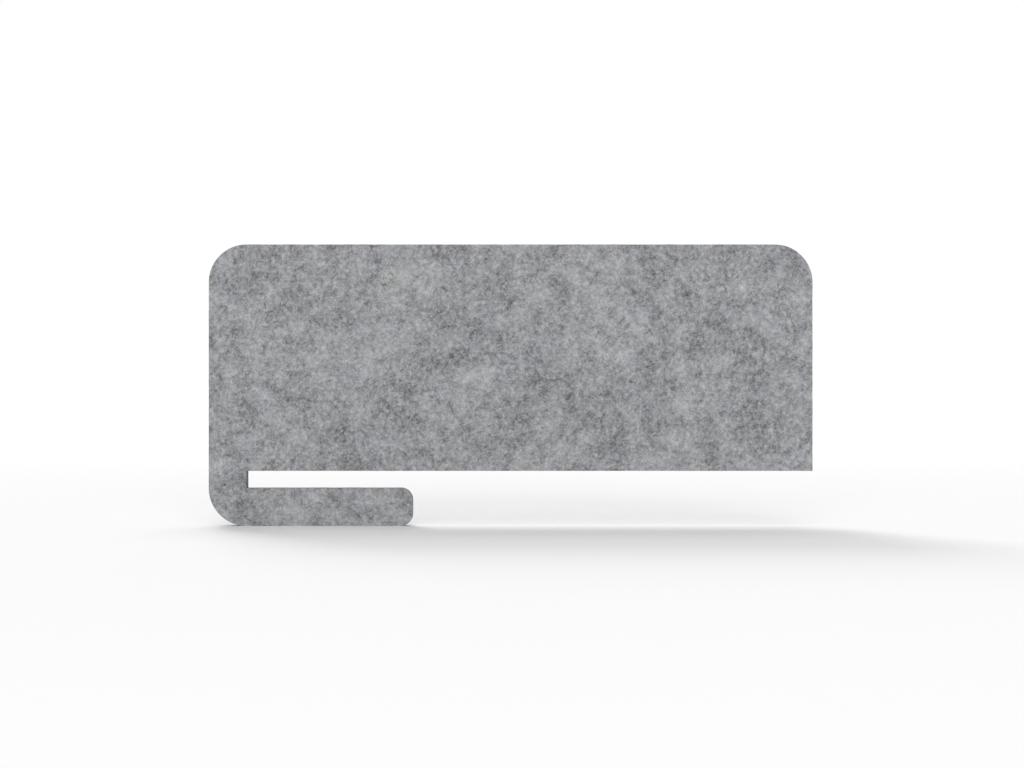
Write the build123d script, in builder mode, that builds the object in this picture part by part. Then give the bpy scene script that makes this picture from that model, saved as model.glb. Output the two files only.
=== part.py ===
"""Slip-on acoustic desk divider, cut from felt board.

One flat screen, whose lower left corner is cut as a hook. The edge of a desktop goes
into the slot between the hook's arm and the lower edge of the screen, and the screen
then stands along the top of the desk.

It is two felt boards, bonded face to face by one hot-melt web, so that both of its
faces are the good side of the board.

X runs along the screen, from the slot's closed end to the free end. Y runs through its
thickness, from the front board to the rear one. Z is up. The origin is the corner of
the slot where the desktop's upper edge meets the screen, in the middle of the thickness.
All sizes are in millimetres.
"""

import os

from build123d import *

# Screen
screen_length = 800.0
screen_height = 300.0
outer_radius = 50.0

# Hook and the slot that takes the desktop
desktop_thickness = 22.0
slot_clearance = 1.0
spine_width = 50.0
arm_height = 50.0
arm_reach = 220.0
arm_end_radius = 16.0

# Make-up of the board
board_thickness = 12.0
arris_radius = 0.8
web_thickness = 0.2
web_setback = 1.0

# Places along X and Z that follow from the sizes above
closed_end = -spine_width
free_end = screen_length - spine_width
slot_floor = -(desktop_thickness + slot_clearance)
foot = slot_floor - arm_height


def screen_outline():
    """The cut line of the whole screen, drawn with X along it and Y up it."""
    corners = [
        (closed_end, foot),
        (arm_reach, foot),
        (arm_reach, slot_floor),
        (0, slot_floor),
        (0, 0),
        (free_end, 0),
        (free_end, screen_height),
        (closed_end, screen_height),
    ]
    with BuildSketch() as outline:
        with BuildLine():
            Polyline(*corners, close=True)
        make_face()
        columns = outline.vertices().group_by(Axis.X)
        closed_corners, free_corners = columns[0], columns[-1]
        top_free_corner = free_corners.sort_by(Axis.Y)[-1]
        fillet([*closed_corners, top_free_corner], radius=outer_radius)
        arm_corners = outline.vertices().filter_by_position(Axis.X, arm_reach, arm_reach)
        fillet(arm_corners, radius=arm_end_radius)
    return outline.sketch


os.makedirs("parts", exist_ok=True)
outline = screen_outline()

# Front board, from the web forwards, with its outer edge softened all round
with BuildPart() as front_felt_board:
    with BuildSketch(Plane.XZ.offset(web_thickness / 2)):
        add(outline)
    extrude(amount=board_thickness)
    fillet(front_felt_board.faces().sort_by(Axis.Y)[0].edges(), radius=arris_radius)

# Rear board, from the web backwards, the same board turned to face the other way
with BuildPart() as rear_felt_board:
    with BuildSketch(Plane.XZ.offset(-web_thickness / 2)):
        add(outline)
    extrude(amount=-board_thickness)
    fillet(rear_felt_board.faces().sort_by(Axis.Y)[-1].edges(), radius=arris_radius)

# Hot-melt web between the boards, held back from the cut line so that none squeezes out
with BuildPart() as bonding_web:
    with BuildSketch(Plane.XZ):
        add(outline)
        offset(amount=-web_setback, kind=Kind.INTERSECTION, mode=Mode.REPLACE)
    extrude(amount=web_thickness / 2, both=True)

front_felt_board.part.label = "front_felt_board"
rear_felt_board.part.label = "rear_felt_board"
bonding_web.part.label = "bonding_web"

for piece in (front_felt_board, rear_felt_board, bonding_web):
    export_step(piece.part, f"parts/{piece.part.label}.step")
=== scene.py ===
"""Slip-on felt desk divider, finished for its picture.

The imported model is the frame: two felt boards with a bonding web between them. Each board
is replaced by one closed surface worked out with numpy, which adds what a plain solid lacks:
a rounded arris, a face that dips towards the cut, a faint relief and a slightly ragged cut
edge with the seam between the boards. The web stays as it is and gets its own finish.

Everything is in metres and in the frame's own axes: X along the screen, Y through its
thickness, Z up from the desktop. Seen from the front, which is from -Y, X runs to the right.
"""

import math

import bpy
import numpy as np
from bpy.props import FloatProperty, FloatVectorProperty, PointerProperty
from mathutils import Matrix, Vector
from mathutils.geometry import delaunay_2d_cdt


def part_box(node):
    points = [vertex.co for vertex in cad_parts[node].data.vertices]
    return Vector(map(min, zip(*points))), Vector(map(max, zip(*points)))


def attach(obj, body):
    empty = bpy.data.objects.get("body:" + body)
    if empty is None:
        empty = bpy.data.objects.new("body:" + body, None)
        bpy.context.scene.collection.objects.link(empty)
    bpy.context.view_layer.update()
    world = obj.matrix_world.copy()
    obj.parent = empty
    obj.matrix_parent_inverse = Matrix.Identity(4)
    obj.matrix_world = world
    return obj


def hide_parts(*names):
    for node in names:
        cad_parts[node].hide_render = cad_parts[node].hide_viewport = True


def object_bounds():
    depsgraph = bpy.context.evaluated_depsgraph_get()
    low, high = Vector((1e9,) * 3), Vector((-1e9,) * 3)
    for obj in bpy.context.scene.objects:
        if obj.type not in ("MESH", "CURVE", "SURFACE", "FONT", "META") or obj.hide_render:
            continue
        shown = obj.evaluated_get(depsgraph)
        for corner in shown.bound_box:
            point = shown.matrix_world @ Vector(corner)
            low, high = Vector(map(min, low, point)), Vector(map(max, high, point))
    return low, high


bl_info = {
    "name": "Felt Desk Divider",
    "version": (1, 0, 0),
    "blender": (4, 5, 0),
    "location": "3D View > Sidebar > Felt Screen",
    "description": "Finishes a slip-on felt desk divider and sets a plain studio round it",
    "category": "Add Mesh",
}

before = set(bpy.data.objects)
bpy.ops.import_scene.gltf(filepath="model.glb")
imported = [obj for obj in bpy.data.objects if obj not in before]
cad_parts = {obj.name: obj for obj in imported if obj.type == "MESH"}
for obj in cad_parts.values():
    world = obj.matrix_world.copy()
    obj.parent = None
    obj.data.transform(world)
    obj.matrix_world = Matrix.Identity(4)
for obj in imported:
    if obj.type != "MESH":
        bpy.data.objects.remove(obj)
CAD_BOX = [list(corner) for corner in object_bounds()]
FRONT_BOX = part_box("front_felt_board")
REAR_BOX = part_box("rear_felt_board")

MM = 0.001
FRONT, REAR = -1, 1

# Rings of points round a board's edge, and the grid of its face
FACE_RING_INSETS = np.array([6.0, 4.6, 3.4, 2.4, 1.6]) * MM
ARRIS_RINGS, CUT_RINGS, SEAM_RINGS = 6, 15, 4
BONDED_RING_INSET = 3 * MM
GRID_CLEARANCE = 0.6  # of the face spacing
BATCHES = 40  # of points, in the test for inside
SHARP_ANGLE = math.radians(40)  # at which shading keeps an edge sharp

# Lattice of random numbers behind the unevenness, and where a face and a cut start on it
KNOT_COLUMNS, KNOT_ROWS = 4096, 512
FACE_START, CUT_START = 1.0, 0.5
LAYER_STRETCH = 6  # of the cut's unevenness, along the cut against through the thickness

# Felt
REAR_PATTERN_SHIFT = 1.7  # metres, from the front's part of the pattern to the rear's
# The cut edge is darker than the face: partly its cut fibre ends, partly painted shade in the pores
# of the cut and on the slot's closed end.
CUT_DARKNESS_AND_PAINTED_SHADE = 0.10  # of lightness, below the face
HAIR_CONTRAST = 0.10  # of lightness
FINE_IN_DARK = 1.75  # gain of the fine part where the clouds are dark
LIGHT_HELD_BACK = 0.4
EYE_POWER = 2.2
ALL_DARK, ALL_LIGHT = 0.33, 1.95  # powers of lightness where all fibre is dark, and all light
DIMPLE_DEPTH = 0.35 * MM

# Studio. A lamp is its name, its azimuth, elevation and spread in degrees, and its level.
FLOOR_REACH = 40.0
FLOOR_MIDDLE = (0.35, 0.0)
FLOOR_FADE = (0.8, 3.2)  # distances from its middle where white begins and where it is full
AMBIENT_LEVEL = 0.30
LAMP_DISTANCE = 3.0
LAMPS = (
    ("key_behind", -18, 30, 24, 0.441),
    ("low_key_behind", 0, 10, 30, 0.074),
    ("high_key_behind", 0, 60, 40, 0.243),
    ("low_fill_front", 180, 15, 40, 0.462),
    ("high_fill_front", 180, 60, 40, 0.140),
)
WHITE = (1, 1, 1)
CAMERA_PLACE = (0.3518, -3.2158, 0.1151)
CAMERA_LENS, CAMERA_SENSOR = 85, 36  # millimetres


class FeltScreenSizes(bpy.types.PropertyGroup):
    """Sizes of the screen's outline, its edges and its surface."""

    outer_radius: FloatProperty(
        name="Outer radius",
        description="Radius of the three large corners",
        default=50 * MM,
        subtype="DISTANCE",
    )
    arm_end_radius: FloatProperty(
        name="Arm end radius",
        description="Radius of the two corners at the end of the arm",
        default=16 * MM,
        subtype="DISTANCE",
    )
    slot_height: FloatProperty(
        name="Slot height",
        description="Height of the slot that takes the edge of the desktop",
        default=23 * MM,
        subtype="DISTANCE",
    )
    arm_reach: FloatProperty(
        name="Arm reach",
        description="Length of the arm past the closed end of the slot",
        default=220 * MM,
        subtype="DISTANCE",
    )
    arris_radius: FloatProperty(
        name="Arris radius",
        description="Rounding of the edge between a board's face and its cut edge",
        default=0.5 * MM,
        subtype="DISTANCE",
    )
    seam_radius: FloatProperty(
        name="Seam radius",
        description="Rounding of each board's edge at the seam",
        default=0.35 * MM,
        subtype="DISTANCE",
    )
    cut_dip: FloatProperty(
        name="Dip at the cut",
        description="How far the knife has pressed a face in beside the cut edge",
        default=0.25 * MM,
        subtype="DISTANCE",
    )
    cut_dip_width: FloatProperty(
        name="Width of the dip",
        description="Distance from the cut edge over which the face dips",
        default=6 * MM,
        subtype="DISTANCE",
    )
    relief_height: FloatProperty(
        name="Relief height",
        description="Height of the faint hills and hollows in a face",
        default=0.16 * MM,
        subtype="DISTANCE",
    )
    relief_length: FloatProperty(
        name="Relief length",
        description="Distance between the hills and hollows in a face",
        default=34 * MM,
        subtype="DISTANCE",
    )
    cut_raggedness: FloatProperty(
        name="Raggedness of the cut",
        description="How far the layers of fibre stand out of the cut edge or fall short of it",
        default=0.12 * MM,
        subtype="DISTANCE",
    )
    face_spacing: FloatProperty(
        name="Face spacing",
        description="Distance between the points of a face",
        default=2.8 * MM,
        subtype="DISTANCE",
    )
    edge_spacing: FloatProperty(
        name="Edge spacing",
        description="Distance between the points along the cut line",
        default=2 * MM,
        subtype="DISTANCE",
    )


class FeltScreenColours(bpy.types.PropertyGroup):
    """Colours of the felt, the bonding web and the studio."""

    dark_fibre: FloatVectorProperty(
        name="Dark fibre",
        description="Colour of the darkest clumps of fibre",
        default=(0.099, 0.099, 0.103),
        subtype="COLOR",
    )
    light_fibre: FloatVectorProperty(
        name="Light fibre",
        description="Colour of the lightest fibre",
        default=(0.575, 0.585, 0.605),
        subtype="COLOR",
    )
    cool_tint: FloatVectorProperty(
        name="Cool tint",
        description="Tint of the felt where the coolest fibre gathers",
        default=(0.98, 0.975, 1.05),
        soft_max=2,
        subtype="COLOR",
    )
    warm_tint: FloatVectorProperty(
        name="Warm tint",
        description="Tint of the felt where the warmest fibre gathers",
        default=(1.02, 1.025, 0.95),
        soft_max=2,
        subtype="COLOR",
    )
    web: FloatVectorProperty(
        name="Bonding web",
        description="Colour of the web between the boards",
        default=(0.12, 0.12, 0.125),
        subtype="COLOR",
    )
    floor: FloatVectorProperty(
        name="Floor",
        description="Colour of the studio floor",
        default=(0.98, 0.98, 0.98),
        subtype="COLOR",
    )


class FeltScreenSettings(bpy.types.PropertyGroup):
    """All the settings of the screen."""

    sizes: PointerProperty(type=FeltScreenSizes)
    colours: PointerProperty(type=FeltScreenColours)


# Cut line


def cut_line_corners(sizes):
    """The corners of the cut line as rows of x, z and radius, counterclockwise from the front."""
    closed_end, foot = FRONT_BOX[0].x, FRONT_BOX[0].z
    free_end, top = FRONT_BOX[1].x, FRONT_BOX[1].z
    slot_floor = -sizes.slot_height
    big, small = sizes.outer_radius, sizes.arm_end_radius
    return np.array(
        [
            (closed_end, foot, big),
            (sizes.arm_reach, foot, small),
            (sizes.arm_reach, slot_floor, small),
            (0, slot_floor, 0),
            (0, 0, 0),
            (free_end, 0, 0),
            (free_end, top, big),
            (closed_end, top, big),
        ]
    )


class CutLine:
    """The cut line as a function of two parameters: the place along it and the inset from it.

    Each corner of the polygon moves in along its mitre by the inset, and its arc's radius
    shrinks by the inset on an outer corner and grows on an inner one. Every inset has the
    same number of points on each arc and run, so rings at two insets match point for point.
    """

    def __init__(self, corners, spacing):
        self.points, self.radii = corners[:, :2], corners[:, 2]
        run = np.roll(self.points, -1, axis=0) - self.points
        length = np.linalg.norm(run, axis=1)
        self.leaving = run / length[:, None]
        self.arriving = np.roll(self.leaving, 1, axis=0)
        self.inward = np.stack([-self.leaving[:, 1], self.leaving[:, 0]], axis=1)
        before = np.roll(self.inward, 1, axis=0)
        self.mitre = (before + self.inward) / (1 + (before * self.inward).sum(1))[:, None]
        self.side = np.sign(
            self.arriving[:, 0] * self.leaving[:, 1] - self.arriving[:, 1] * self.leaving[:, 0]
        )
        arc = self.radii * math.pi / 2
        straight = length - self.radii - np.roll(self.radii, -1)
        self.arc_steps = np.ceil(arc / spacing).astype(int)
        self.run_steps = np.maximum(np.round(straight / spacing).astype(int), 1)

    def ring(self, inset):
        """The points x, z of the cut line drawn in by inset: quarter arcs joined by straight runs."""
        corner = self.points + inset * self.mitre
        radius = np.where(self.radii > 0, np.maximum(self.radii - self.side * inset, 0), 0)
        start = corner - self.arriving * radius[:, None]
        end = corner + self.leaving * radius[:, None]
        centre = start + end - corner
        pieces = []
        for i, steps in enumerate(self.arc_steps):
            angle = np.linspace(0, math.pi / 2, steps + 1)[:, None]
            if steps:
                reach = np.cos(angle) * (start[i] - centre[i]) + np.sin(angle) * (end[i] - centre[i])
                pieces.append(centre[i] + reach)
            else:
                pieces.append(corner[i : i + 1])
            along = np.linspace(0, 1, self.run_steps[i] + 1)[1:-1, None]
            following = (i + 1) % len(corner)
            pieces.append(end[i] + along * (start[following] - end[i]))
        return np.concatenate(pieces)

    def outward(self):
        """The direction out of the felt at each point: from the ring drawn in to the cut line."""
        step = 0.1 * MM
        return (self.ring(0) - self.ring(step)) / step


# Unevenness


def unevenness(u, v, cell, seed, wrap=0):
    """Smooth random height between about -1 and 1 at the places u, v.

    Random numbers stand at the knots of a square lattice of the given cell. Between knots,
    the height follows the quintic 6t^5 - 15t^4 + 10t^3 both ways. A wrap makes the lattice
    close on itself after that length of u.
    """
    columns = max(round(wrap / cell), 1) if wrap else KNOT_COLUMNS
    scale = columns / wrap if wrap else 1 / cell
    a, b = np.asarray(u) * scale, np.asarray(v) / cell
    i, j = np.floor(a).astype(int), np.floor(b).astype(int)
    s, t = a - i, b - j
    s, t = (x**3 * (x * (6 * x - 15) + 10) for x in (s, t))
    knots = np.random.default_rng(seed).uniform(-1, 1, (columns, KNOT_ROWS))

    def knot(di, dj):
        return knots[(i + di) % columns, (j + dj) % KNOT_ROWS]

    low = knot(0, 0) * (1 - s) + knot(1, 0) * s
    high = knot(0, 1) * (1 - s) + knot(1, 1) * s
    return low * (1 - t) + high * t


def face_height(sizes, x, z, inset, seed):
    """Height of a face over its flat plane.

    It is the relief, which is unevenness at three lengths, faded out towards the arris, less
    the dip, which grows with the square of the nearness to the cut.
    """
    relief = sum(
        unevenness(x + FACE_START, z + FACE_START, sizes.relief_length / k, seed + k) / k
        for k in (1, 2, 5)
    )
    nearness = np.clip(1 - inset / sizes.cut_dip_width, 0, 1)
    return sizes.relief_height * relief * (1 - nearness) - sizes.cut_dip * nearness**2


def cut_raggedness(sizes, along, depth, seed):
    """How far the cut edge stands out of the cut line, for every ring and place along it.

    It is unevenness at two lengths, stretched along the cut, because the mat is pressed into
    layers.
    """
    u, v = np.broadcast_arrays(along[:-1], depth[:, None] * LAYER_STRETCH + CUT_START)
    return sizes.cut_raggedness * sum(
        unevenness(u, v, cell, seed + k, along[-1]) / k for k, cell in ((1, 11 * MM), (2, 4.5 * MM))
    )


# Meshes


def inside(points, ring, clearance):
    """Which points lie inside a closed ring and at least clearance from it.

    A point is inside when a ray from it along x crosses the ring an odd number of times. The
    points are taken in batches, to save memory.
    """
    after = np.roll(ring, -1, axis=0)
    run, rise = after[:, 0] - ring[:, 0], after[:, 1] - ring[:, 1]
    rise = np.where(rise == 0, 1, rise)
    keep = np.zeros(len(points), bool)
    for batch in np.array_split(np.arange(len(points)), BATCHES):
        x, z = points[batch, 0:1], points[batch, 1:2]
        spans = (ring[:, 1] > z) != (after[:, 1] > z)
        crossing = ring[:, 0] + (z - ring[:, 1]) / rise * run
        odd = (spans & (crossing > x)).sum(1) % 2 == 1
        near = np.hypot(ring[:, 0] - x, ring[:, 1] - z).min(1) < clearance
        keep[batch] = odd & ~near
    return keep


def fill(ring, inner):
    """Triangles between the points of a closed ring and the points inside it.

    The triangulation keeps every side of the ring but also covers the hollows outside it, so
    a triangle stays only if the mean of its corners lies inside the ring.
    """
    points = np.concatenate([ring, inner])
    rim = [(i, (i + 1) % len(ring)) for i in range(len(ring))]
    corners = [Vector(p) for p in points.tolist()]
    placed, _, triangles, *_ = delaunay_2d_cdt(corners, rim, [], 0, 1e-7, False)
    if len(placed) != len(points):
        raise RuntimeError("points of the face fell together")
    triangles = np.array(triangles)
    return triangles[inside(points[triangles].mean(1), ring, 0)]


def new_mesh(name, points, polygons):
    """A mesh object from arrays of points and of polygons, each array with one number of sides."""
    mesh = bpy.data.meshes.new(name)
    corners = np.concatenate([p.ravel() for p in polygons])
    sides = np.concatenate([np.full(len(p), p.shape[1]) for p in polygons])
    mesh.vertices.add(len(points))
    mesh.vertices.foreach_set("co", points.ravel())
    mesh.loops.add(len(corners))
    mesh.loops.foreach_set("vertex_index", corners)
    mesh.polygons.add(len(sides))
    mesh.polygons.foreach_set("loop_start", np.cumsum(sides) - sides)
    mesh.update(calc_edges=True)
    if mesh.validate():
        raise RuntimeError(f"{name} has a bad face")
    mesh.shade_smooth()
    piece = bpy.data.objects.new(name, mesh)
    bpy.context.collection.objects.link(piece)
    return piece


def edge_profile(sizes, thickness):
    """Inset and depth of each ring of a board, from its face round the cut edge to the seam.

    The face's rings come closer together towards the cut. A quarter circle follows over the
    arris, then even steps down the cut edge, a small quarter circle at the seam, and a last
    ring on the bonded side.
    """
    outer, seam = sizes.arris_radius, sizes.seam_radius
    over = np.linspace(0, math.pi / 2, ARRIS_RINGS)
    down = np.linspace(outer, thickness - seam, CUT_RINGS)[1:-1]
    under = np.linspace(0, math.pi / 2, SEAM_RINGS)
    inset = np.concatenate(
        [
            FACE_RING_INSETS,
            outer * (1 - np.sin(over)),
            np.zeros(len(down)),
            seam * (1 - np.cos(under)),
            [BONDED_RING_INSET],
        ]
    )
    depth = np.concatenate(
        [
            np.zeros(len(FACE_RING_INSETS)),
            outer * (1 - np.cos(over)),
            down,
            thickness - seam * (1 - np.sin(under)),
            [thickness],
        ]
    )
    return inset, depth


def length_along(ring):
    """Length run along a closed ring at each of its points and, last, back at the first one."""
    step = np.linalg.norm(np.roll(ring, -1, axis=0) - ring, axis=1)
    return np.concatenate([[0], np.cumsum(step)])


def ring_quads(rows, count):
    """Quads between neighbouring rings, numbered ring by ring, with each ring closed."""
    i = np.arange(count)
    k = np.arange(rows - 1)[:, None] * count
    after = (i + 1) % count
    quads = np.stack([k + i, k + count + i, k + count + after, k + after], axis=-1)
    return quads.reshape(-1, 4)


def unrolled_edge(along, inset, depth, start):
    """Place of each quad's corners on the unrolled edge: along the cut line, and across it."""
    across = np.concatenate([[0], np.cumsum(np.hypot(np.diff(inset), np.diff(depth)))]) + start
    i = np.arange(len(along) - 1)
    k = np.arange(len(inset) - 1)[:, None]
    u = np.broadcast_to(along[np.stack([i, i, i + 1, i + 1], axis=-1)], (len(k), len(i), 4))
    v = np.repeat(across[np.stack([k, k + 1, k + 1, k], axis=-1)], len(i), axis=1)
    return np.stack([u, v], axis=-1).reshape(-1, 4, 2)


def face_grid(box, ring, spacing):
    """Points x, z of an even grid over the box that lie inside the ring and clear of it."""
    x, z = np.arange(box[0].x, box[1].x, spacing), np.arange(box[0].z, box[1].z, spacing)
    grid = np.stack(np.meshgrid(x, z, indexing="ij"), axis=-1).reshape(-1, 2)
    return grid[inside(grid, ring, spacing * GRID_CLEARANCE)]


def felt_board(name, side, box, sizes, seed):
    """One felt board as a closed surface.

    The edge is the profile carried along the cut line. The face is the height function on a
    grid of x and z, joined to the profile's first ring, and the bonded side is flat. The foot
    is pressed flat where it stands.
    """
    line = CutLine(cut_line_corners(sizes), sizes.edge_spacing)
    along = length_along(line.ring(0))
    thickness = box[1].y - box[0].y
    face_y = box[0].y if side == FRONT else box[1].y
    inset, depth = edge_profile(sizes, thickness)
    rings = np.stack([line.ring(d) for d in inset])
    rows, count = rings.shape[:2]

    # How far each ring belongs to the cut edge: 0 on the face and on the bonded side
    on_cut = np.clip(depth / sizes.arris_radius, 0, 1) * (inset < BONDED_RING_INSET)
    ragged = cut_raggedness(sizes, along, depth, seed) * on_cut[:, None]
    x, z = np.moveaxis(rings + ragged[:, :, None] * line.outward(), -1, 0)
    z = np.maximum(z, box[0].z)
    height = face_height(sizes, x, z, inset[:, None], seed) * (1 - on_cut[:, None])
    height[depth >= thickness - sizes.seam_radius] = 0
    y = face_y + side * (height - depth[:, None])
    edge = np.stack([x, y, z], axis=2).reshape(-1, 3)

    x, z = face_grid(box, rings[0], sizes.face_spacing).T
    face = np.stack([x, face_y + side * face_height(sizes, x, z, np.inf, seed), z], axis=1)

    over_face = fill(rings[0], np.stack([x, z], axis=1))
    over_face = np.where(over_face < count, over_face, over_face + (rows - 1) * count)
    over_bond = fill(rings[-1], np.empty((0, 2)))[:, ::-1] + (rows - 1) * count
    polygons = [ring_quads(rows, count), over_face, over_bond]
    edge_uv = unrolled_edge(along, inset, depth, thickness * (1 + side))
    if side == REAR:
        polygons = [p[:, ::-1] for p in polygons]
        edge_uv = edge_uv[:, ::-1]

    board = new_mesh(name, np.concatenate([edge, face]), polygons)
    cut = np.concatenate([np.repeat(on_cut, count), np.zeros(len(face))])
    board.data.attributes.new("cut", "FLOAT", "POINT").data.foreach_set("value", cut)
    uv = np.zeros((len(board.data.loops), 2))
    uv[: edge_uv.size // 2] = edge_uv.reshape(-1, 2)
    board.data.uv_layers.new(name="cut_line").data.foreach_set("uv", uv.ravel())
    board.data.set_sharp_from_angle(angle=SHARP_ANGLE)
    return board


# Materials


class Nodes:
    """Adds shader nodes to a tree. An input is a plain value or another node's output."""

    def __init__(self, tree):
        self.tree = tree

    def feed(self, socket, value):
        """Links the value to the socket if it is an output, and else sets it as the default."""
        if isinstance(value, bpy.types.NodeSocket):
            self.tree.links.new(value, socket)
        elif socket.type == "RGBA":
            socket.default_value = (*value, 1)
        else:
            socket.default_value = value

    def add(self, kind, inputs=None, **settings):
        """A new node of the kind, with its settings made before its inputs are fed."""
        node = self.tree.nodes.new("ShaderNode" + kind)
        for name, value in settings.items():
            setattr(node, name, value)
        for key, value in (inputs or {}).items():
            self.feed(node.inputs[key], value)
        return node

    def math(self, operation, *values):
        """Output of a Math node."""
        return self.add("Math", dict(enumerate(values)), operation=operation).outputs[0]

    def vector(self, operation, *values, **named):
        """Vector output of a Vector Math node."""
        inputs = dict(enumerate(values)) | named
        return self.add("VectorMath", inputs, operation=operation).outputs[0]

    def mix(self, kind, share, low, high):
        """Output between low, where the share is 0, and high, where it is 1.

        The kind is Float, Vector or Color. A Mix node has a pair of inputs and an output for
        each, and only their identifiers tell them apart.
        """
        data_type = {"Float": "FLOAT", "Vector": "VECTOR", "Color": "RGBA"}[kind]
        node = self.add("Mix", {"Factor": share}, data_type=data_type)
        sockets = {socket.identifier: socket for socket in (*node.inputs, *node.outputs)}
        self.feed(sockets["A_" + kind], low)
        self.feed(sockets["B_" + kind], high)
        return sockets["Result_" + kind]

    def fade(self, value, start, end):
        """Smooth step from 0 where the value is start to 1 where it is end."""
        inputs = {"Value": value, "From Min": start, "From Max": end}
        return self.add("MapRange", inputs, interpolation_type="SMOOTHSTEP").outputs[0]

    def clouds(self, place, size, seed=20, distortion=0, dimensions="2D"):
        """Soft noise about zero whose patches are about as large as size.

        Each size reads the pattern turned by an angle of its own, and the seed says where it
        starts, so that no two layers, nor their lattices, line up.
        """
        turned = {
            "Vector": place,
            "Location": [seed * size * step for step in (13, 7, 5)],
            "Rotation": (0, 0, 1 + size / MM),
        }
        inputs = {
            "Vector": self.add("Mapping", turned).outputs[0],
            "Scale": 1 / size,
            "Detail": 0,
            "Distortion": distortion,
        }
        noise = self.add("TexNoise", inputs, noise_dimensions=dimensions)
        return self.math("SUBTRACT", noise.outputs["Fac"], 0.5)

    def total(self, *weighted):
        """Sum of outputs, each times its weight."""
        result = 0
        for weight, output in weighted:
            result = self.math("MULTIPLY_ADD", output, weight, result)
        return result

    def strands(self, group, place, spacing, length, width, bend, seed):
        """Mask and tone of one layer of strands of fibre."""
        inputs = {
            "Place": place,
            "Spacing": spacing,
            "Length": length,
            "Width": width,
            "Bend": bend,
            "Seed": seed,
        }
        node = self.add("Group", inputs, node_tree=group)
        return node.outputs["Mask"], node.outputs["Tone"]

    def strand_layers(self, group, place, bend, start, *layers):
        """The start plus layers of strands, each strand as light or dark as its own tone.

        A layer is its weight, the spacing, length and width of its strands, and its seed. The
        bend is a share of the spacing.
        """
        result = start
        for weight, spacing, length, width, seed in layers:
            mask, tone = self.strands(group, place, spacing, length, width, spacing * bend, seed)
            result = self.math("MULTIPLY_ADD", self.math("MULTIPLY", mask, tone), weight, result)
        return result


def strand_group():
    """Node group that lays one bent strand of fibre in each cell of an uneven lattice.

    The place is first pushed about by soft noise, which bends the strands. Each cell's strand
    lies through the cell's own point at a random angle. The mask falls off along the strand
    from a fifth of its length and across it from its middle, and the tone is a random number
    from -1 to 1 for each strand.
    """
    group = bpy.data.node_groups.new("strands_of_fibre", "ShaderNodeTree")
    group.interface.new_socket("Place", in_out="INPUT", socket_type="NodeSocketVector")
    for name in ("Spacing", "Length", "Width", "Bend", "Seed"):
        group.interface.new_socket(name, in_out="INPUT", socket_type="NodeSocketFloat")
    for name in ("Mask", "Tone"):
        group.interface.new_socket(name, in_out="OUTPUT", socket_type="NodeSocketFloat")
    source = group.nodes.new("NodeGroupInput").outputs
    sink = group.nodes.new("NodeGroupOutput").inputs

    n = Nodes(group)
    seed = n.add("CombineXYZ", {0: source["Seed"], 1: n.math("MULTIPLY", source["Seed"], 0.7)})
    place = n.vector("ADD", source["Place"], seed.outputs[0])
    lattice = n.math("DIVIDE", 1.0, source["Spacing"])
    drift = n.add(
        "TexNoise",
        {"Vector": place, "Scale": n.math("DIVIDE", lattice, 1.6), "Detail": 0},
        noise_dimensions="2D",
    )
    drift = n.vector("SUBTRACT", drift.outputs["Color"], (0.5, 0.5, 0.5))
    place = n.vector("ADD", place, n.vector("SCALE", drift, Scale=source["Bend"]))
    cell = n.add("TexVoronoi", {"Vector": place, "Scale": lattice}, voronoi_dimensions="2D")
    own = n.vector("SUBTRACT", place, cell.outputs["Position"])
    random = n.add("SeparateColor", {0: cell.outputs["Color"]}).outputs
    turn = {"Vector": own, "Angle": n.math("MULTIPLY", random[0], math.tau)}
    turned = n.add("VectorRotate", turn, rotation_type="Z_AXIS").outputs[0]
    turned = n.add("SeparateXYZ", {0: turned}).outputs
    along = n.fade(
        n.math("ABSOLUTE", turned[0]),
        n.math("MULTIPLY", source["Length"], 0.5),
        n.math("MULTIPLY", source["Length"], 0.2),
    )
    across = n.fade(
        n.math("ABSOLUTE", turned[1]), n.math("MULTIPLY", source["Width"], 0.7), 0
    )
    group.links.new(n.math("MULTIPLY", along, across), sink["Mask"])
    group.links.new(n.math("MULTIPLY_ADD", random[1], 2.0, -1.0), sink["Tone"])
    return group


def new_material(name, roughness):
    """A material's node maker and its Principled shader."""
    material = bpy.data.materials.new(name)
    material.use_nodes = True
    shader = material.node_tree.nodes["Principled BSDF"]
    n = Nodes(material.node_tree)
    n.feed(shader.inputs["Roughness"], roughness)
    return material, n, shader


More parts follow.
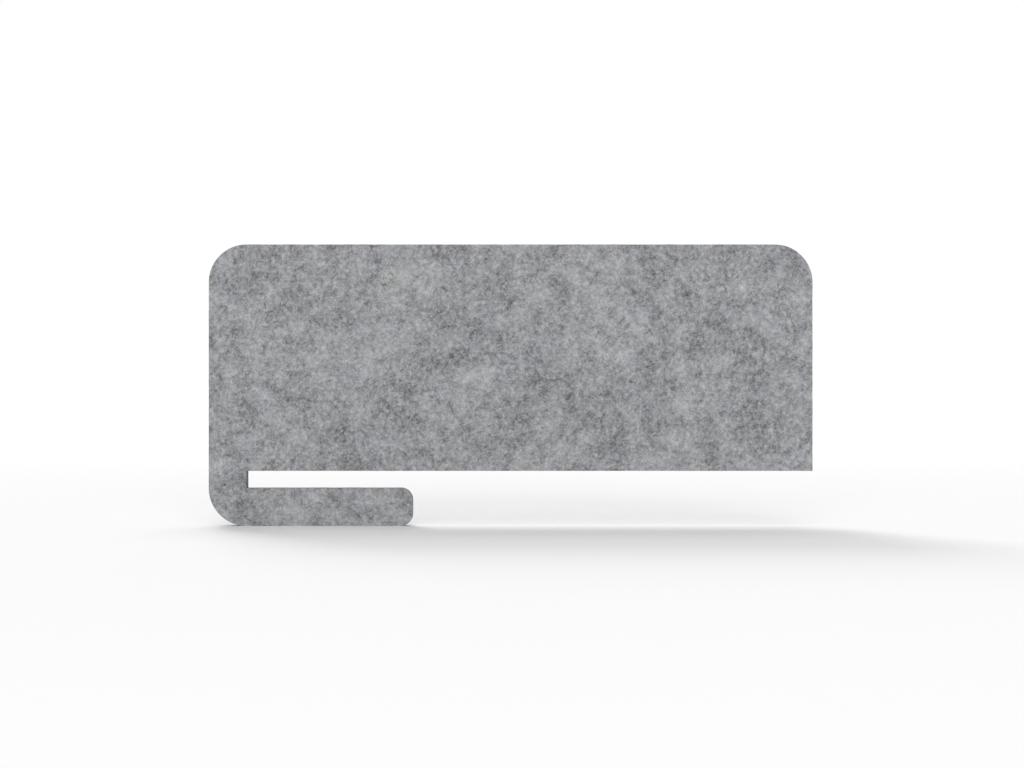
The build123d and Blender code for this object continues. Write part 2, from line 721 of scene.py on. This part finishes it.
def face_tone(n, strands, place):
    """Lightness of the felt's face, about zero.

    Broad clouds come from how the carded fibres lay in the mat, and the fine part from tufts,
    curls and short strands, light and dark. The broad clouds start where they come out a little
    lighter over the arm: painted light there, against the shade on the arm near the floor. A few
    coarse fibres only darken. The fine part is a little stronger where the clouds are dark, and
    light places are held back by the square of the tone.
    """
    # Their seeds are chosen so that the clouds are a little lighter over the arm: painted light.
    broad_and_painted_light = n.total(
        (0.14, n.clouds(place, 90 * MM, seed=549)),
        (0.10, n.clouds(place, 45 * MM, seed=308)),
        (0.22, n.clouds(place, 24 * MM, seed=296)),
        (0.085, n.clouds(place, 13 * MM, seed=335)),
    )
    fine = n.total(
        (0.215, n.clouds(place, 7.5 * MM)),
        (0.15, n.clouds(place, 4.8 * MM)),
        (0.12, n.clouds(place, 3.4 * MM)),
        (0.10, n.clouds(place, 2.4 * MM)),
        (0.15, n.clouds(place, 1.6 * MM)),
        (0.19, n.clouds(place, 6 * MM, distortion=1.2)),
        (0.12, n.clouds(place, 4 * MM, distortion=1.2)),
        (0.09, n.clouds(place, 3 * MM, distortion=1.2)),
    )
    fine = n.strand_layers(
        strands,
        place,
        0.8,
        fine,
        (0.13, 7 * MM, 7 * MM, 1.6 * MM, 21),
        (0.10, 5 * MM, 5.5 * MM, 1.3 * MM, 22),
        (0.06, 4.5 * MM, 6 * MM, 0.9 * MM, 3),
        (0.11, 3 * MM, 4 * MM, 0.7 * MM, 4),
    )
    for weight, spacing, length, width, bend, seed in (
        (0.17, 20 * MM, 17 * MM, 2.2 * MM, 9 * MM, 11),
        (0.16, 14 * MM, 12 * MM, 1.5 * MM, 7 * MM, 5),
        (0.08, 8 * MM, 7.5 * MM, 1.5 * MM, 4 * MM, 13),
        (0.08, 9 * MM, 3.6 * MM, 2.8 * MM, 3 * MM, 7),
    ):
        mask, tone = n.strands(strands, place, spacing, length, width, bend, seed)
        strength = n.add("MapRange", {"Value": tone, "From Min": -0.2, "From Max": 1})
        strong = n.math("MULTIPLY", mask, strength.outputs[0])
        fine = n.math("MULTIPLY_ADD", strong, -weight, fine)
    contrast = n.math("MULTIPLY_ADD", broad_and_painted_light, -FINE_IN_DARK, 1)
    tone = n.math("MULTIPLY_ADD", fine, contrast, broad_and_painted_light)
    return n.math("MULTIPLY", tone, n.math("MULTIPLY_ADD", tone, -LIGHT_HELD_BACK, 1))


def hair_tone(n, strands, place):
    """Lightness of the single hairs that a close look shows, about zero."""
    return n.strand_layers(
        strands,
        place,
        0.6,
        0.0,
        (1, 1.7 * MM, 2.6 * MM, 0.22 * MM, 31),
        (1, 1.2 * MM, 2.0 * MM, 0.17 * MM, 32),
        (1, 0.8 * MM, 1.4 * MM, 0.13 * MM, 33),
    )


def cut_tone(n, strands, place, along_cut):
    """Lightness of the cut edge, a little below zero: partly its darker cut fibre ends, partly
    painted shade.

    Clumps of fibre run on through the thickness, pressed as flat as the mat is, so they are
    long along the cut and short across it. Cut fibre ends speckle them, and short strands lie
    along the cut.
    """
    tone = n.total(
        (0.16, n.clouds(place, 24 * MM, dimensions="3D")),
        (0.18, n.clouds(place, 9 * MM, dimensions="3D")),
        (0.16, n.clouds(place, 4 * MM, distortion=0.8, dimensions="3D")),
        (0.16, n.clouds(along_cut, 1.9 * MM, distortion=0.7)),
        (0.14, n.clouds(along_cut, 1.1 * MM, distortion=0.7)),
        (0.14, n.clouds(along_cut, 0.6 * MM)),
    )
    for weight, long, thin in ((0.20, 14 * MM, 3.4 * MM), (0.20, 6 * MM, 1.9 * MM)):
        pressed = n.vector("MULTIPLY", along_cut, (thin / long, 1, 1))
        tone = n.math("MULTIPLY_ADD", n.clouds(pressed, thin, distortion=0.9), weight, tone)
    tone = n.strand_layers(
        strands,
        n.vector("MULTIPLY", along_cut, (0.5, 1, 1)),
        0.7,
        tone,
        (0.15, 3.2 * MM, 3.4 * MM, 0.8 * MM, 41),
        (0.13, 1.9 * MM, 2.2 * MM, 0.5 * MM, 42),
    )
    # Darker than the face: partly the cut fibre ends, partly painted shade.
    return n.math("SUBTRACT", tone, CUT_DARKNESS_AND_PAINTED_SHADE)


def fibre_tint(n, colours, place):
    """Tint of the felt: some of its fibre is a little bluish and some a little brownish."""
    warmth = n.total(
        (0.30, n.clouds(place, 60 * MM, dimensions="3D")),
        (0.35, n.clouds(place, 24 * MM, dimensions="3D")),
        (0.50, n.clouds(place, 10 * MM, dimensions="3D")),
        (0.70, n.clouds(place, 5 * MM, dimensions="3D")),
        (0.80, n.clouds(place, 2.6 * MM, dimensions="3D")),
    )
    share = n.math("ADD", warmth, 0.5)
    return n.mix("Color", share, colours.cool_tint, colours.warm_tint)


def felt_material(colours):
    """Grey marl felt: light and dark fibre carded together, with a layered cut edge.

    The lightness of a place is the sum of its tones about 1. The share of light fibre follows
    the power of the lightness by which the eye judges it. The back face reads the pattern at a
    distance from the front face's, so that the two differ.
    """
    material, n, shader = new_material("grey_marl_felt", 0.95)
    strands = strand_group()
    place = n.add("TexCoord").outputs["Object"]
    x, y, z = n.add("SeparateXYZ", {0: place}).outputs
    on_rear = n.math("GREATER_THAN", y, 0)
    x = n.math("MULTIPLY_ADD", on_rear, REAR_PATTERN_SHIFT, x)
    on_face = n.add("CombineXYZ", {0: x, 1: z}).outputs[0]
    along_cut = n.add("UVMap", uv_map="cut_line").outputs[0]
    cut = n.add("Attribute", attribute_name="cut").outputs["Fac"]
    followed = n.mix("Vector", cut, on_face, along_cut)

    hairs = hair_tone(n, strands, followed)
    face, edge = face_tone(n, strands, on_face), cut_tone(n, strands, place, along_cut)
    tone = n.mix("Float", cut, face, edge)
    lightness = n.math("ADD", n.math("MULTIPLY_ADD", hairs, HAIR_CONTRAST, tone), 1)
    power = n.math("POWER", n.math("MAXIMUM", lightness, 0), EYE_POWER)
    share = n.add("MapRange", {"Value": power, "From Min": ALL_DARK, "From Max": ALL_LIGHT})
    grey = n.mix("Color", share.outputs[0], colours.dark_fibre, colours.light_fibre)
    colour = n.vector("MULTIPLY", grey, fibre_tint(n, colours, place))
    n.feed(shader.inputs["Base Color"], colour)

    dimples = n.clouds(followed, 1.6 * MM, distortion=0.5)
    height = n.total((0.7, dimples), (0.3, hairs))
    bump = n.add("Bump", {"Height": height, "Distance": DIMPLE_DEPTH, "Strength": 0.7})
    n.feed(shader.inputs["Normal"], bump.outputs[0])
    n.feed(shader.inputs["Specular IOR Level"], 0.2)
    n.feed(shader.inputs["Sheen Weight"], 0.08)
    n.feed(shader.inputs["Sheen Roughness"], 0.5)
    return material


def web_material(colours):
    """Bonding web: dark hot-melt that has soaked unevenly into the fibre."""
    material, n, shader = new_material("hot_melt_web", 0.6)
    place = n.add("TexCoord").outputs["Object"]
    uneven = n.clouds(place, 3 * MM, distortion=0.8, dimensions="3D")
    dark, light = ([part * channel for channel in colours.web] for part in (0.7, 1.3))
    colour = n.mix("Color", n.math("ADD", uneven, 0.5), dark, light)
    n.feed(shader.inputs["Base Color"], colour)
    n.feed(shader.inputs["Roughness"], n.math("MULTIPLY_ADD", uneven, 0.5, 0.6))
    return material


# Studio


def backdrop_ray(n):
    """1 for the rays that show the studio: straight to the camera, or by way of gloss or glass."""
    path = n.add("LightPath").outputs
    seen = n.math("MAXIMUM", path["Is Camera Ray"], path["Is Glossy Ray"])
    return n.math("MAXIMUM", seen, path["Is Transmission Ray"])


def floor_material(colour, level):
    """Matt floor at the given height that turns as white as the background far from its middle."""
    material, n, shader = new_material("pale_floor", 1)
    n.feed(shader.inputs["Base Color"], colour)
    n.feed(shader.inputs["Specular IOR Level"], 0)
    place = n.add("TexCoord").outputs["Object"]
    reach = n.vector("SUBTRACT", place, (*FLOOR_MIDDLE, level))
    distance = n.add("VectorMath", {0: reach}, operation="LENGTH").outputs["Value"]
    white = n.add("Emission", {"Color": WHITE, "Strength": 1}).outputs[0]
    share = n.math("MULTIPLY", n.fade(distance, *FLOOR_FADE), backdrop_ray(n))
    mixed = n.add("MixShader", {0: share, 1: shader.outputs[0], 2: white}).outputs[0]
    n.feed(n.tree.nodes["Material Output"].inputs["Surface"], mixed)
    return material


def studio_floor(colour):
    """Wide square floor at the height of the foot."""
    level = CAD_BOX[0][2]
    corners = FLOOR_REACH * np.array([(-1, -1), (1, -1), (1, 1), (-1, 1)])
    points = np.column_stack([corners, np.full(len(corners), level)])
    floor = new_mesh("floor", points, [np.arange(len(corners))[None]])
    floor.data.materials.append(floor_material(colour, level))
    return floor


def studio_world():
    """World that lights the object evenly at the ambient level and shows as white."""
    world = bpy.data.worlds.new("studio")
    world.use_nodes = True
    n = Nodes(world.node_tree)
    background = world.node_tree.nodes["Background"].inputs
    n.feed(background["Color"], WHITE)
    strength = n.add("MapRange", {"Value": backdrop_ray(n), "To Min": AMBIENT_LEVEL, "To Max": 1})
    n.feed(background["Strength"], strength.outputs[0])
    return world


def studio_lamp(name, azimuth, elevation, spread, level):
    """Soft sun in the given direction, its azimuth counted from the rear towards the right.

    A white surface that faces a sun of level 1 renders white.
    """
    lamp = bpy.data.lights.new(name, "SUN")
    lamp.angle = math.radians(spread)
    lamp.energy = level * math.pi
    holder = bpy.data.objects.new(name, lamp)
    a, e = math.radians(azimuth), math.radians(elevation)
    towards = Vector((math.sin(a) * math.cos(e), math.cos(a) * math.cos(e), math.sin(e)))
    holder.rotation_euler = towards.to_track_quat("Z", "Y").to_euler()
    holder.location = towards * LAMP_DISTANCE
    return holder


def studio_camera():
    """Level camera in front of the screen, square to its face."""
    lens = bpy.data.cameras.new("camera")
    lens.lens, lens.sensor_width = CAMERA_LENS, CAMERA_SENSOR
    camera = bpy.data.objects.new("camera", lens)
    camera.location = CAMERA_PLACE
    camera.rotation_euler = (math.pi / 2, 0, 0)
    return camera


# Operators


class SCREEN_OT_felt_boards(bpy.types.Operator):
    """Build the two felt boards in place of the plain solids"""

    bl_idname = "felt_screen.boards"
    bl_label = "Felt boards"
    bl_options = {"REGISTER", "UNDO"}

    def execute(self, context):
        settings = context.scene.felt_screen
        felt = felt_material(settings.colours)
        for name, node, side, box, seed in (
            ("front_board", "front_felt_board", FRONT, FRONT_BOX, 11),
            ("rear_board", "rear_felt_board", REAR, REAR_BOX, 47),
        ):
            board = felt_board(name, side, box, settings.sizes, seed)
            board.data.materials.append(felt)
            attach(board, "root")
            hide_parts(node)
        return {"FINISHED"}


class SCREEN_OT_bonding_web(bpy.types.Operator):
    """Give the web between the boards its finish"""

    bl_idname = "felt_screen.bonding_web"
    bl_label = "Bonding web"
    bl_options = {"REGISTER", "UNDO"}

    def execute(self, context):
        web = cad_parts["bonding_web"]
        material = web_material(context.scene.felt_screen.colours)
        for slot in web.material_slots:
            slot.material = material
        return {"FINISHED"}


class SCREEN_OT_stage(bpy.types.Operator):
    """Set the floor, the light and the camera"""

    bl_idname = "felt_screen.stage"
    bl_label = "Stage"
    bl_options = {"REGISTER", "UNDO"}

    def execute(self, context):
        scene = context.scene
        scene.view_settings.view_transform = "Standard"
        studio_floor(scene.felt_screen.colours.floor)
        scene.world = studio_world()
        for lamp in LAMPS:
            scene.collection.objects.link(studio_lamp(*lamp))
        camera = studio_camera()
        scene.collection.objects.link(camera)
        bpy.context.scene.camera = camera
        return {"FINISHED"}


class SCREEN_PT_panel(bpy.types.Panel):
    """Lists the sizes, the colours and the steps of the screen"""

    bl_idname = "SCREEN_PT_panel"
    bl_label = "Felt Desk Divider"
    bl_space_type = "VIEW_3D"
    bl_region_type = "UI"
    bl_category = "Felt Screen"

    def draw(self, context):
        settings = context.scene.felt_screen
        for group in (settings.sizes, settings.colours):
            box = self.layout.box()
            for name in group.__annotations__:
                box.prop(group, name)
        for step in STEPS:
            self.layout.operator(step.bl_idname)


STEPS = (SCREEN_OT_felt_boards, SCREEN_OT_bonding_web, SCREEN_OT_stage)
CLASSES = (
    FeltScreenSizes,
    FeltScreenColours,
    FeltScreenSettings,
    *STEPS,
    SCREEN_PT_panel,
)


def register():
    """Registers the classes and gives each scene its settings."""
    for cls in CLASSES:
        bpy.utils.register_class(cls)
    bpy.types.Scene.felt_screen = PointerProperty(type=FeltScreenSettings)


def unregister():
    """Takes back what register does."""
    del bpy.types.Scene.felt_screen
    for cls in reversed(CLASSES):
        bpy.utils.unregister_class(cls)


def main():
    """Builds every piece and the stage."""
    register()
    bpy.ops.felt_screen.boards()
    bpy.ops.felt_screen.bonding_web()
    bpy.ops.felt_screen.stage()


if __name__ == "__main__":
    main()
